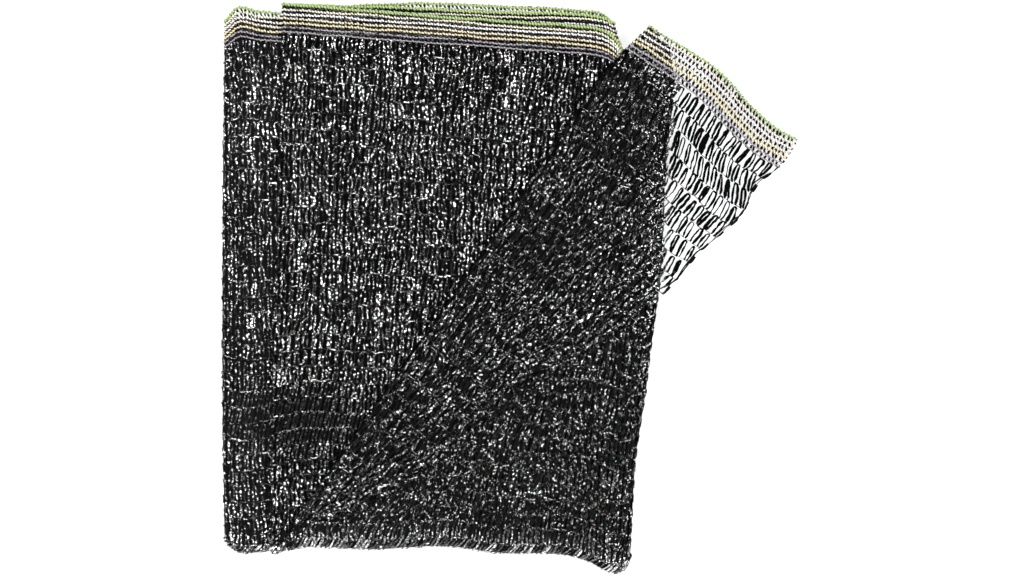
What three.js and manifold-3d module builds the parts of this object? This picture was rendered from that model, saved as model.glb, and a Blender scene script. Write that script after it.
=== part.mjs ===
// A folded length of black knitted shade cloth with a coloured knitted edge.
//
// The cloth is one thin sheet, folded back and forth into eight layers. The last fold runs at a slant, so
// the free end lies across the stack and its corner hangs over the right side as a see-through flap.
// The sheet is first laid out as flat layers, one above the other. Then it settles: the lower edge rolls
// down to the ground, the layers that reach past the stack on the right sink, and the top is a little uneven.
//
// Millimetres, +Z up. The origin is on the ground, under the middle of the outline.

import * as THREE from 'three';
import { mergeGeometries, mergeVertices } from 'three/addons/utils/BufferGeometryUtils.js';
import Module from 'manifold-3d';

// Driving sizes of the sheet and its layers
const SHEET_THICKNESS = 1.2;
const LAYER_PITCH = 2.0;
const FOLD_RADIUS = LAYER_PITCH / 2;

// The knit: coloured chains lie close together along one edge, black chains further apart in the body.
// Between two chains, each loop of yarn leaves one long gap.
const SELVEDGE_WIDTH = 25;
const WALE_PITCH = 12.7;
const LOOP_PITCH = 6.3;
const GAP_LENGTH = 10.2;
const GAP_WIDTH = 4.1;
const GAP_MARGIN = 4.5;

// How the sheet is divided: rows crowd to the coloured edge, where the cloth bends most
const FOLD_STEPS = 3;
const ROWS = 16;
const ROW_CROWD = 1.2;
const ROLL_STEPS = 4;

// How the lower edge rolls down: over this length of cloth it turns by this angle, and never by more than
// the greatest one. The reach is how much wider than high the roll is.
const ROLL_LENGTH = 22;
const ROLL_REACH = 4;
const ROLL_ANGLE = THREE.MathUtils.degToRad(78);
const ROLL_GREATEST = THREE.MathUtils.degToRad(87);

// Past the right side the cloth sinks, first by the layers that end there, then by the two that fold back.
// Higher layers go over that step further out, by SINK_LEAN of their height above the lowest of them.
const SINK_LEAN = 1.8;
const SINKS = [
  { fromX: 88, toX: 125, layers: 5 },
  { fromX: 130, toX: 166, layers: 2 },
];

// Uneven top: slow waves across the stack, each with its height, wave lengths and phase
const WAVES = [
  { height: 0.7, alongX: 210, alongY: 330, phase: 0.6 },
  { height: 0.5, alongX: -420, alongY: 150, phase: 2.1 },
];

// Where the lower edge starts to roll down, from left to right
const LOWER_EDGE = [
  { x: -229, y: -187 },
  { x: -216, y: -198 },
  { x: -188, y: -196 },
  { x: -166, y: -189 },
  { x: -110, y: -190 },
  { x: -52, y: -187 },
  { x: -8, y: -193 },
  { x: 40, y: -195 },
  { x: 62, y: -201 },
  { x: 80, y: -210 },
  { x: 90, y: -207 },
  { x: 97, y: -196 },
];

// The cut ends and the folds in the order in which the cloth passes them, from the bottom of the stack up.
// A line runs from the coloured edge down to the lower edge. Its turn is 1 where the fold faces right,
// -1 where it faces left, and 0 at a cut end. The line ends on the lower edge at endX.
const LINES = [
  { turn: 0, upper: [[66, 203], [72, 0]], endX: 76 }, // inner cut end, hidden
  { turn: -1, upper: [[-223, 208], [-224, 20]], endX: -221 }, // first left fold
  { turn: 1, upper: [[73, 202], [80, 178], [82, 0]], endX: 83 }, // first right fold
  { turn: -1, upper: [[-225.5, 211], [-227, 100], [-227.5, -80]], endX: -226 }, // second left fold
  { turn: 1, upper: [[82, 209], [85, 197], [89, 184], [88, 0]], endX: 87 }, // second right fold
  { turn: -1, upper: [[-180, 223], [-184, 50], [-188, -89]], endX: -189 }, // third left fold
  {
    turn: 1, // third right fold
    upper: [[127, 190], [130, 158], [124, 109], [119, 10], [112, -41], [107, -80], [99, -132]],
    endX: 95,
  },
  { turn: -1, upper: [[109, 206], [78, 174], [-46, -8], [-130, -128]], endX: -176 }, // slanting fold
  {
    turn: 0, // free cut end
    upper: [
      [227, 117], [213, 96], [195, 82], [182, 57], [147, 26],
      [120, -6], [71, -45], [15, -73], [-32, -113], [-95, -160],
    ],
    endX: -164,
  },
];

// The layers between those lines, from the bottom up: the points of the coloured edge between its two
// lines, the number of columns that the layer is divided into, and how closely they crowd to the right.
const LAYERS = [
  { edge: [[-80, 211]], columns: 7, crowd: 1 },
  { edge: [[-80, 213]], columns: 7, crowd: 1 },
  { edge: [[-60, 216]], columns: 7, crowd: 1 },
  {
    edge: [[-214, 221], [-198, 218], [-178, 216], [-135, 221], [-83, 224], [-8, 222], [47, 219], [71, 216]],
    columns: 14,
    crowd: 1,
  },
  { edge: [[72, 213], [-8, 217], [-83, 220]], columns: 7, crowd: 1 },
  { edge: [[-87, 216], [-8, 210], [71, 203], [81, 197], [91, 185], [110, 186]], columns: 14, crowd: 1.5 },
  { edge: [], columns: 12, crowd: 1.5 },
  { edge: [[142, 187], [168, 168], [188, 146], [209, 127]], columns: 12, crowd: 1 },
];

const BLACK_POLYETHYLENE = new THREE.MeshStandardMaterial({ color: 0x141416, roughness: 0.4, metalness: 0 });

const CURVE_SAMPLES = 120;
const STACK_HEIGHT = (LAYERS.length - 1) * LAYER_PITCH + SHEET_THICKNESS;

/** A smooth plan curve through points given as [x, y]. */
function planCurve(points) {
  return new THREE.CatmullRomCurve3(points.map(([x, y]) => new THREE.Vector3(x, y, 0)));
}

/** A curve's sampled points, to be read by either coordinate. */
const sampled = (curve) => curve.getSpacedPoints(CURVE_SAMPLES);

/** One coordinate of sampled points where the other, which never turns back, has a given value. */
function readSamples(samples, from, value, to) {
  const rising = samples.at(-1)[from] > samples[0][from];
  const next = samples.findIndex((point) => (rising ? point[from] >= value : point[from] <= value));
  if (next === 0) return samples[0][to];
  if (next < 0) return samples.at(-1)[to];
  const [a, b] = [samples[next - 1], samples[next]];
  return THREE.MathUtils.mapLinear(value, a[from], b[from], a[to], b[to]);
}

const lowerSamples = sampled(planCurve(LOWER_EDGE.map(({ x, y }) => [x, y])));
const lowerEdge = (x) => readSamples(lowerSamples, 'x', x, 'y');

const lineCurves = LINES.map(({ upper, endX }) => planCurve([...upper, [endX, lowerEdge(endX)]]));

/** The direction in plan that a fold faces at v, which runs from 0 at the coloured edge to 1. */
function facing(line, v) {
  const along = lineCurves[line].getTangentAt(v);
  return new THREE.Vector3(-along.y, along.x, 0).multiplyScalar(LINES[line].turn);
}

/** The middle of a fold's round, or a cut end itself, at v. */
function lineAxis(line, v) {
  const inset = FOLD_RADIUS + SHEET_THICKNESS / 2;
  return lineCurves[line].getPointAt(v).addScaledVector(facing(line, v), -inset);
}

const edgeCurves = LAYERS.map(({ edge }, layer) => {
  const start = lineAxis(layer, 0);
  const end = lineAxis(layer + 1, 0);
  return planCurve([[start.x, start.y], ...edge, [end.x, end.y]]);
});

/** A layer's plan point: a surface patch stretched between its two lines and its two edges. */
function layerPoint(layer, t, v) {
  const [start, end] = [layer, layer + 1];
  const lowX = THREE.MathUtils.lerp(lineAxis(start, 1).x, lineAxis(end, 1).x, t);
  const low = new THREE.Vector3(lowX, lowerEdge(lowX), 0);
  const across = lineAxis(start, v).lerp(lineAxis(end, v), t);
  const down = edgeCurves[layer].getPointAt(t).lerp(low, v);
  const upperCorners = lineAxis(start, 0).lerp(lineAxis(end, 0), t);
  const lowerCorners = lineAxis(start, 1).lerp(lineAxis(end, 1), t);
  return across.add(down).sub(upperCorners.lerp(lowerCorners, v));
}

const layerHeight = (layer) => SHEET_THICKNESS / 2 + layer * LAYER_PITCH;

/** The columns of the middle surface, each a function of v that gives a point and its thickness axis. */
function sheetColumns() {
  const columns = [];
  LAYERS.forEach(({ columns: count, crowd }, layer) => {
    const leftward = layer % 2 === 0;
    const side = leftward ? 1 : -1;
    for (let i = 0; i <= count; i += 1) {
      const t = leftward ? (i / count) ** crowd : 1 - (1 - i / count) ** crowd;
      columns.push((v) => ({
        point: layerPoint(layer, t, v).setZ(layerHeight(layer)),
        axis: new THREE.Vector3(0, 0, side),
      }));
    }
    const line = layer + 1;
    if (LINES[line].turn === 0) return;
    for (let step = 1; step < FOLD_STEPS; step += 1) {
      const angle = Math.PI * (step / FOLD_STEPS - 0.5);
      columns.push((v) => {
        const out = facing(line, v).multiplyScalar(Math.cos(angle)).setZ(Math.sin(angle));
        const middle = lineAxis(line, v).setZ(layerHeight(layer) + FOLD_RADIUS);
        return { point: middle.addScaledVector(out, FOLD_RADIUS), axis: out.multiplyScalar(-side) };
      });
    }
  });
  return columns;
}

/** Where a point of the flat stack comes to lie: uneven, sunk on the right, rolled down at the lower edge. */
function settle({ x, y, z }) {
  const out = x - SINK_LEAN * Math.max(z - SINKS[0].layers * LAYER_PITCH, 0);
  const sunk = SINKS.map(({ fromX, toX }) => THREE.MathUtils.smootherstep(out, fromX, toX));
  const sink = SINKS.reduce((sum, { layers }, i) => sum + sunk[i] * layers * LAYER_PITCH, 0);
  const wave = WAVES.reduce((sum, { height, alongX, alongY, phase }) => (
    sum + height * Math.sin(2 * Math.PI * (x / alongX + y / alongY) + phase)), 0);
  const height = z * (1 + (wave * (1 - sunk[0])) / STACK_HEIGHT) - sink;
  const past = Math.max(lowerEdge(x) - y, 0);
  const roll = Math.min((past / ROLL_LENGTH) * ROLL_ANGLE, ROLL_GREATEST);
  return new THREE.Vector3(x, y + past - (ROLL_REACH + height) * Math.sin(roll), height * Math.cos(roll));
}

/** The whole sheet as one closed solid: two faces half a thickness from the middle surface, and a rim. */
function sheetGeometry() {
  const columns = sheetColumns();
  const rows = ROWS + ROLL_STEPS;
  const points = [];
  columns.forEach((column) => {
    for (let row = 0; row <= rows; row += 1) {
      const { point, axis } = column(Math.min(row / ROWS, 1) ** ROW_CROWD);
      point.y -= (Math.max(row - ROWS, 0) / ROLL_STEPS) * ROLL_LENGTH;
      [0.5, -0.5].forEach((side) => {
        points.push(settle(point.clone().addScaledVector(axis, side * SHEET_THICKNESS)));
      });
    }
  });

  const vertex = (column, row, face) => 2 * (column * (rows + 1) + row) + face;
  const indices = [];
  const quad = (a, b, c, d) => indices.push(a, b, c, a, c, d);
  const lastColumn = columns.length - 1;
  for (let i = 0; i < lastColumn; i += 1) {
    for (let j = 0; j < rows; j += 1) {
      quad(vertex(i, j, 0), vertex(i + 1, j, 0), vertex(i + 1, j + 1, 0), vertex(i, j + 1, 0));
      quad(vertex(i, j, 1), vertex(i, j + 1, 1), vertex(i + 1, j + 1, 1), vertex(i + 1, j, 1));
    }
    quad(vertex(i, 0, 0), vertex(i, 0, 1), vertex(i + 1, 0, 1), vertex(i + 1, 0, 0));
    quad(vertex(i, rows, 0), vertex(i + 1, rows, 0), vertex(i + 1, rows, 1), vertex(i, rows, 1));
  }
  const last = (row, face) => vertex(lastColumn, row, face);
  for (let j = 0; j < rows; j += 1) {
    quad(vertex(0, j, 0), vertex(0, j + 1, 0), vertex(0, j + 1, 1), vertex(0, j, 1));
    quad(last(j, 0), last(j, 1), last(j + 1, 1), last(j + 1, 0));
  }
  return new THREE.BufferGeometry().setFromPoints(points).setIndex(indices);
}

/** One gap of the net as an upright six-sided cutter, long across the chains and pointed at both ends. */
function gapCutter(centre, alongRow, alongLeg) {
  const corners = [[-0.5, -0.3], [0, -0.5], [0.5, -0.3], [0.5, 0.3], [0, 0.5], [-0.5, 0.3]];
  const outline = corners.map(([across, along]) => {
    const corner = centre.clone().addScaledVector(alongRow, across * GAP_WIDTH);
    return corner.addScaledVector(alongLeg, along * GAP_LENGTH);
  });
  const shape = new THREE.Shape(outline.map(({ x, y }) => new THREE.Vector2(x, y)));
  const clear = LAYER_PITCH;
  const cutter = new THREE.ExtrudeGeometry(shape, { depth: STACK_HEIGHT + 2 * clear, bevelEnabled: false });
  return cutter.translate(0, 0, -clear);
}

/** The cutters for the gaps that show in the flap, where the cloth is one layer past the right side. */
function flapGapCutters() {
  const flap = LAYERS.length - 1;
  const width = lineCurves[flap].getLength();
  const stackSide = sampled(lineCurves[flap - 1]);
  const cutters = [];
  const wales = Math.floor((width - SELVEDGE_WIDTH) / WALE_PITCH);
  for (let row = 0; row < wales; row += 1) {
    const v = (SELVEDGE_WIDTH + (row + 0.5) * WALE_PITCH) / width;
    const start = layerPoint(flap, 0, v);
    const end = layerPoint(flap, 1, v);
    const length = start.distanceTo(end);
    const alongRow = end.clone().sub(start).normalize();
    const alongLeg = new THREE.Vector3(-alongRow.y, alongRow.x, 0);
    const stagger = row % 2 === 0 ? 0 : 0.5;
    for (let loop = 0; (loop + stagger) * LOOP_PITCH < length - GAP_MARGIN; loop += 1) {
      const centre = layerPoint(flap, ((loop + stagger) * LOOP_PITCH) / length, v);
      const side = readSamples(stackSide, 'y', centre.y, 'x');
      if (centre.x > side + GAP_MARGIN) cutters.push(gapCutter(centre, alongRow, alongLeg));
    }
  }
  return mergeGeometries(cutters);
}

const wasm = await Module();
wasm.setup();

function toManifold(geometry) {
  const bare = geometry.clone();
  ['normal', 'uv'].forEach((name) => bare.deleteAttribute(name));
  const merged = mergeVertices(bare, 1e-4);
  return new wasm.Manifold(new wasm.Mesh({
    numProp: 3,
    vertProperties: new Float32Array(merged.attributes.position.array),
    triVerts: new Uint32Array(merged.index.array),
  }));
}

function toGeometry(solid) {
  const mesh = solid.getMesh();
  const geometry = new THREE.BufferGeometry();
  geometry.setAttribute('position', new THREE.BufferAttribute(mesh.vertProperties, mesh.numProp));
  geometry.setIndex(new THREE.BufferAttribute(mesh.triVerts, 1));
  geometry.computeVertexNormals();
  return geometry;
}

const cloth = toManifold(sheetGeometry()).subtract(toManifold(flapGapCutters()));
const shadeCloth = new THREE.Mesh(toGeometry(cloth), BLACK_POLYETHYLENE);
shadeCloth.name = 'shade_cloth';

const part = new THREE.Group();
part.add(shadeCloth);

export default part;
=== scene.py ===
# %% [markdown]
# # A folded length of knitted shade cloth
# Shade cloth is a net knitted from flat black polyethylene tape. Rows of loops hang between chains of
# stitches, and along one edge the chains are coloured and close together. Here the cloth is folded back
# and forth into eight layers, and the last fold runs at a slant, so that the free end lies across the
# stack and its corner hangs over the right side, where a single layer lets the white floor through.
#
# The lesson has one idea: the fold is a function. It takes a place on the cloth and gives a point in
# space, and every strand is laid with it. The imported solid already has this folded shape, so we work with
# its sizes.

# %% The frame
from dataclasses import dataclass
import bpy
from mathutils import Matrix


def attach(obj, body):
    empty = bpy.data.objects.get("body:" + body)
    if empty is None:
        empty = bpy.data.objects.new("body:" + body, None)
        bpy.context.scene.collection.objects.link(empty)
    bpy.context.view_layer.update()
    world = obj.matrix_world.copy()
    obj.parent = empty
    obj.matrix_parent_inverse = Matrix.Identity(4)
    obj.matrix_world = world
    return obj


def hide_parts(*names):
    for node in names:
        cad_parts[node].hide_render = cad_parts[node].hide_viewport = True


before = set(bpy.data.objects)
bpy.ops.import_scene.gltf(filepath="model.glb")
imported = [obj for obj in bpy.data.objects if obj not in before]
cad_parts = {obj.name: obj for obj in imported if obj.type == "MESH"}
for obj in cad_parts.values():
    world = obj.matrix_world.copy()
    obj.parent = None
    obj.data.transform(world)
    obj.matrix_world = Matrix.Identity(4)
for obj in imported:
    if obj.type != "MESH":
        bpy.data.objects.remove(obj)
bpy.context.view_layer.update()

from types import SimpleNamespace

import bpy
import numpy as np

MM = 0.001

# %% [markdown]
# ## Camera, floor and light
# The picture looks straight down, so the camera sits far above the origin with a long lens, and its frame
# is as wide as the picture's scale says. Flat black tape is dark wherever it doesn't mirror a lamp, so a
# few bright square lamps around the cloth give separate white glints. The floor glows a little, as a
# light table does, and stays white under the lamps. The sky has two strengths: the camera sees it white
# behind the floor, and the tape mirrors it nearly black, because a bright sky would lay a grey veil over
# every strand.

# %% Camera
IMAGE_WIDTH = 1021
PIXEL = 0.79 * MM
LENS = 85.0
SENSOR = 36.0


def add_object(name, data):
    """A new object of the scene, at the origin."""
    made = bpy.data.objects.new(name, data)
    bpy.context.collection.objects.link(made)
    return made


camera_data = bpy.data.cameras.new("overhead_camera")
camera_data.lens = LENS
camera_data.sensor_width = SENSOR
camera = add_object("overhead_camera", camera_data)
camera.location = (0, 0, IMAGE_WIDTH * PIXEL * LENS / SENSOR)
bpy.context.scene.camera = camera
print("camera height:", round(camera.location.z, 3))

# %% Floor
WHITE = (1, 1, 1, 1)
FLOOR_REACH = 1.15
FLOOR_GAP = 0.0004
FLOOR_FINISH = {
    "Base Color": (0.4, 0.4, 0.4, 1), "Roughness": 0.8, "Emission Color": WHITE, "Emission Strength": 0.6,
}

floor_mesh = bpy.data.meshes.new("floor")
floor_corners = np.array([(-1, -1), (1, -1), (1, 1), (-1, 1)]) * FLOOR_REACH
floor_mesh.from_pydata([(x, y, -FLOOR_GAP) for x, y in floor_corners], [], [(0, 1, 2, 3)])
floor_finish = bpy.data.materials.new("light_table")
floor_finish.use_nodes = True
for socket, value in FLOOR_FINISH.items():
    floor_finish.node_tree.nodes["Principled BSDF"].inputs[socket].default_value = value
floor_mesh.materials.append(floor_finish)
floor = add_object("floor", floor_mesh)
print("floor:", 2 * FLOOR_REACH, "m wide")

# %% Lamps
RINGS = [
    {"name": "near", "count": 8, "radius": 1.50, "height": 1.25, "first": 12, "side": 0.45, "power": 12.0},
    {"name": "far", "count": 6, "radius": 1.75, "height": 0.95, "first": 2, "side": 0.45, "power": 12.0},
]


def add_lamp(name, place, side, power):
    """A square lamp that faces the middle of the cloth."""
    data = bpy.data.lights.new(name, "AREA")
    data.shape = "SQUARE"
    data.size = side
    data.energy = power
    lamp = add_object(name, data)
    lamp.location = place
    lamp.rotation_euler = (-lamp.location).to_track_quat("-Z", "Y").to_euler()


for ring in RINGS:
    for turn in np.radians(ring["first"] + 360 / ring["count"] * np.arange(ring["count"])):
        place = (ring["radius"] * np.cos(turn), ring["radius"] * np.sin(turn), ring["height"])
        add_lamp(f"{ring['name']}_lamp", place, ring["side"], ring["power"])
print("lamps:", sum(ring["count"] for ring in RINGS))

# %% Sky
SKY_STRENGTH = 0.005
BACKDROP_STRENGTH = 1.0

world = bpy.data.worlds.new("studio")
world.use_nodes = True
sky_nodes = world.node_tree.nodes
sky_links = world.node_tree.links
sky = sky_nodes["Background"]
sky.inputs["Color"].default_value = WHITE
sky_rays = sky_nodes.new("ShaderNodeLightPath")
sky_power = sky_nodes.new("ShaderNodeMapRange")
sky_power.inputs["To Min"].default_value = SKY_STRENGTH
sky_power.inputs["To Max"].default_value = BACKDROP_STRENGTH
sky_links.new(sky_rays.outputs["Is Camera Ray"], sky_power.inputs["Value"])
sky_links.new(sky_power.outputs["Result"], sky.inputs["Strength"])
bpy.context.scene.world = world
bpy.context.scene.view_settings.view_transform = "Standard"
print("sky:", SKY_STRENGTH, "for the cloth,", BACKDROP_STRENGTH, "for the camera")

# %% [markdown]
# ## The plan of the fold
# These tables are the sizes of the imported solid, in millimetres. A line is a cut end or a fold, in the
# order in which the cloth passes them from the bottom up. Each runs from the coloured edge to the lower
# edge. A layer lies between two lines, and its part of the coloured edge passes through a few points.

# %% Tables of the fold
SHEET_THICKNESS = 1.2
LAYER_PITCH = 2.0
FOLD_RADIUS = LAYER_PITCH / 2
CLOTH_WIDTH = 420.0

LOWER_EDGE = [
    (-229, -187), (-216, -198), (-188, -196), (-166, -189), (-110, -190), (-52, -187),
    (-8, -193), (40, -195), (62, -201), (80, -210), (90, -207), (97, -196),
]
LINES = [
    {"turn": 0, "upper": [(66, 203), (72, 0)], "end_x": 76},
    {"turn": -1, "upper": [(-223, 208), (-224, 20)], "end_x": -221},
    {"turn": 1, "upper": [(73, 202), (80, 178), (82, 0)], "end_x": 83},
    {"turn": -1, "upper": [(-225.5, 211), (-227, 100), (-227.5, -80)], "end_x": -226},
    {"turn": 1, "upper": [(82, 209), (85, 197), (89, 184), (88, 0)], "end_x": 87},
    {"turn": -1, "upper": [(-180, 223), (-184, 50), (-188, -89)], "end_x": -189},
    {
        "turn": 1,
        "upper": [(127, 190), (130, 158), (124, 109), (119, 10), (112, -41), (107, -80), (99, -132)],
        "end_x": 95,
    },
    {"turn": -1, "upper": [(109, 206), (78, 174), (-46, -8), (-130, -128)], "end_x": -176},
    {
        "turn": 0,
        "upper": [
            (227, 117), (213, 96), (195, 82), (182, 57), (147, 26),
            (120, -6), (71, -45), (15, -73), (-32, -113), (-95, -160),
        ],
        "end_x": -164,
    },
]
EDGES = [
    [(-80, 211)],
    [(-80, 213)],
    [(-60, 216)],
    [(-214, 221), (-198, 218), (-178, 216), (-135, 221), (-83, 224), (-8, 222), (47, 219), (71, 216)],
    [(72, 213), (-8, 217), (-83, 220)],
    [(-87, 216), (-8, 210), (71, 203), (81, 197), (91, 185), (110, 186)],
    [],
    [(142, 187), (168, 168), (188, 146), (209, 127)],
]
LAYER_NAMES = ["bottom", "second", "third", "left_strip", "under", "top", "turned", "flap"]
BOTTOM, SECOND, THIRD, LEFT_STRIP, UNDER, TOP, TURNED, FLAP = range(len(LAYER_NAMES))
STACK_HEIGHT = (len(LAYER_NAMES) - 1) * LAYER_PITCH + SHEET_THICKNESS
print("layers:", len(LAYER_NAMES), "stack height:", STACK_HEIGHT)

# %% [markdown]
# ## Curves
# A line has only the points that its shape needs, and a Catmull-Rom curve runs smoothly through them. We
# store it as many points at even steps, so that reading it anywhere is one linear interpolation.

# %% Curves
SPAN_STEPS = 40
CURVE_STEPS = 400


def smooth_curve(points):
    """Even steps along a curve through the points.

    Between two points runs a cubic. Its slopes there come from the neighbours, weighed by the square roots
    of the distances, and past each end a neighbour is made by mirroring.
    """
    p = np.array(points, float)
    p = np.vstack([2 * p[0] - p[1], p, 2 * p[-1] - p[-2]])
    reach = np.sqrt(np.linalg.norm(np.diff(p, axis=0), axis=1))[:, None]
    before, here, after = reach[:-2], reach[1:-1], reach[2:]
    a, b, c, d = p[:-3], p[1:-2], p[2:-1], p[3:]
    slope_b = here * ((b - a) / before - (c - a) / (before + here) + (c - b) / here)
    slope_c = here * ((c - b) / here - (d - b) / (here + after) + (d - c) / after)
    s = np.linspace(0, 1, SPAN_STEPS, endpoint=False)[None, :, None]
    rise = s * s * (3 - 2 * s)
    spans = b[:, None] * (1 - rise) + c[:, None] * rise
    spans = spans + slope_b[:, None] * s * (1 - s) ** 2 - slope_c[:, None] * s * s * (1 - s)
    dense = np.vstack([spans.reshape(-1, 2), p[-2]])
    length = np.append(0, np.cumsum(np.linalg.norm(np.diff(dense, axis=0), axis=1)))
    return read_curve(dense, np.linspace(0, length[-1], CURVE_STEPS + 1), length)


def read_curve(curve, s, marks=None):
    """The curve's points at s, where marks are the values of s at its own points, by default 0 to 1."""
    marks = np.linspace(0, 1, len(curve)) if marks is None else marks
    return np.stack([np.interp(s, marks, curve[:, axis]) for axis in range(2)], axis=-1)


def side_of(curve):
    """The unit vectors to the left of a curve, by a quarter turn of its direction."""
    along = np.gradient(curve, axis=0)
    along = along / np.linalg.norm(along, axis=1)[:, None]
    return np.stack([-along[:, 1], along[:, 0]], axis=-1)


lower_curve = smooth_curve(LOWER_EDGE)


def lower_edge(x):
    """Where the lower edge starts to roll down, at x."""
    return np.interp(x, lower_curve[:, 0], lower_curve[:, 1])


line_curves = [smooth_curve([*line["upper"], (line["end_x"], lower_edge(line["end_x"]))]) for line in LINES]
line_facings = [side_of(curve) * line["turn"] for curve, line in zip(line_curves, LINES)]
print("free cut end:", round(np.linalg.norm(np.diff(line_curves[-1], axis=0), axis=1).sum()), "mm")

# %% [markdown]
# ## From the cloth to the stack
# A place on a layer has two numbers. The first, t, runs from 0 to 1 along the cloth between the layer's
# two lines. The second, v, runs across it from the coloured edge at 0 to the lower edge at 1, and a
# little further round the roll. The layer is a patch stretched between its four sides, which is called a
# Coons patch: blend the two lines, add the blend of the two edges, and take away the blend of the
# corners, which was counted twice.

# %% Flat layers
INSET = FOLD_RADIUS + SHEET_THICKNESS / 2
EDGE_FADE = 3


def fold_facing(line, v):
    """The direction in plan that a fold faces."""
    return read_curve(line_facings[line], v)


def fold_axis(line, v):
    """The middle of a fold's round, which lies inside its line, or a cut end itself."""
    return read_curve(line_curves[line], v) - INSET * fold_facing(line, v)


edge_curves = [
    smooth_curve([fold_axis(layer, 0.0), *points, fold_axis(layer + 1, 0.0)])
    for layer, points in enumerate(EDGES)
]


def blend(a, b, share):
    """The points part of the way from a to b, with a share for each."""
    return a + (b - a) * np.asarray(share)[..., None]


def flat_layer(layer, t, v):
    """The plan points of a layer at t and v, as a Coons patch. Past v = 1 the cloth goes on downwards."""
    v_in = np.clip(v, 0, 1)
    across = blend(fold_axis(layer, v_in), fold_axis(layer + 1, v_in), t)
    upper_corners = blend(fold_axis(layer, 0.0), fold_axis(layer + 1, 0.0), t)
    lower_corners = blend(fold_axis(layer, 1.0), fold_axis(layer + 1, 1.0), t)
    low_x = lower_corners[..., 0]
    low = np.stack([low_x, lower_edge(low_x)], axis=-1)
    upper_bend = (read_curve(edge_curves[layer], t) - upper_corners) * (1 - v_in)[..., None] ** EDGE_FADE
    plan = across + upper_bend + (low - lower_corners) * v_in[..., None]
    plan[..., 1] -= (v - v_in) * CLOTH_WIDTH
    return plan


def layer_height(layer):
    """The height of a layer's middle in the flat stack."""
    return SHEET_THICKNESS / 2 + layer * LAYER_PITCH


sample = flat_layer(TOP, np.array([0.0, 1.0]), np.array([0.5, 0.5]))
print("half way down, the top layer reaches from", sample[0].round(1), "to", sample[1].round(1))

# %% [markdown]
# ## How the stack settles
# The flat stack is then bent as a whole, as if it were drawn inside a block of jelly: that keeps the layers
# in order. On the right it sinks to the floor, at the lower edge it rolls down, slow waves make it uneven,
# and creases are listed as soft troughs and ridges where the picture shows them.

# %% Settling
SINK_LEAN = 1.8
SINKS = [
    {"from_x": 88, "to_x": 125, "layers": 5},
    {"from_x": 130, "to_x": 166, "layers": 2},
]
WAVES = [
    {"height": 0.7, "along_x": 210, "along_y": 330, "phase": 0.6},
    {"height": 0.5, "along_x": -420, "along_y": 150, "phase": 2.1},
]
# Each crease: where it starts and ends, its width, and its height or, below 0, its depth.
CREASES = [
    ((-92, -124), (42, -72), 7, -1.2),
    ((-216, -92), (-160, -112), 12, -0.9),
    ((-160, -112), (-108, -96), 12, -0.9),
    ((-10, 24), (66, 150), 11, -0.8),
    ((-146, 165), (-140, 20), 13, 0.6),
    ((-88, 160), (-92, 10), 14, 0.6),
    ((-166, 160), (-164, 95), 9, -0.7),
    ((-107, 165), (-104, 100), 9, -0.7),
]
ROLL_LENGTH = 22.0
ROLL_REACH = 4.0
ROLL_ANGLE = np.radians(78)
ROLL_GREATEST = np.radians(87)


def smoother(x):
    """A step from 0 to 1 with no bend at its ends: 6x^5 - 15x^4 + 10x^3."""
    x = np.clip(x, 0, 1)
    return x**3 * (x * (6 * x - 15) + 10)


def crease(x, y, start, end, width, height):
    """A trough or ridge along a short line: height times exp(-(d / width)^2), at the distance d from it."""
    along = np.subtract(end, start)
    share = ((x - start[0]) * along[0] + (y - start[1]) * along[1]) / (along @ along)
    share = np.clip(share, 0, 1)
    off = np.hypot(x - start[0] - share * along[0], y - start[1] - share * along[1])
    return height * np.exp(-((off / width) ** 2))


def settle(plan, z):
    """Where points of the flat stack come to lie, in metres.

    Waves and creases stretch the heights, and smooth steps in X take the sinks from them. Past the lower edge
    a point turns about an axis under it, by an angle that grows with the length of cloth.
    """
    x, y = plan[..., 0], plan[..., 1]
    out = x - SINK_LEAN * np.maximum(z - SINKS[0]["layers"] * LAYER_PITCH, 0)
    sunk = [smoother((out - sink["from_x"]) / (sink["to_x"] - sink["from_x"])) for sink in SINKS]
    drop = sum(share * sink["layers"] * LAYER_PITCH for share, sink in zip(sunk, SINKS))
    wave = sum(
        w["height"] * np.sin(2 * np.pi * (x / w["along_x"] + y / w["along_y"]) + w["phase"]) for w in WAVES
    )
    wave = wave + sum(crease(x, y, *each) for each in CREASES) * z / STACK_HEIGHT
    height = z * (1 + wave * (1 - sunk[0]) / STACK_HEIGHT) - drop
    past = np.maximum(lower_edge(x) - y, 0)
    roll = np.minimum(past / ROLL_LENGTH * ROLL_ANGLE, ROLL_GREATEST)
    y = y + past - (ROLL_REACH + height) * np.sin(roll)
    return np.stack([x, y, height * np.cos(roll)], axis=-1) * MM


def cloth_point(layer, t, v, lift, wrap=0.0):
    """The point at a place on the cloth, lifted off the middle of its layer.

    Before t = 0 the cloth goes round the fold that it comes from: wrap is the length of cloth on that
    round, and the point turns about the fold's axis by wrap over the fold's radius.
    """
    angle = np.minimum(np.asarray(wrap) / FOLD_RADIUS, np.pi)
    radius = FOLD_RADIUS + lift
    out = fold_facing(layer, np.clip(v, 0, 1)) * (radius * np.sin(angle))[..., None]
    z = layer_height(layer) - FOLD_RADIUS + radius * np.cos(angle)
    return settle(flat_layer(layer, t, v) + out, z)


corner = cloth_point(FLAP, np.array([1.0]), np.array([0.0]), np.array([0.0]))
print("the flap's corner lies at", corner.round(4))

# %% [markdown]
# ## Meshes from arrays
# Every strand is a small cross-section carried along a path. The strands of a layer are worked out
# together: one long array of path points, with a number that says which strand each belongs to.


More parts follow.
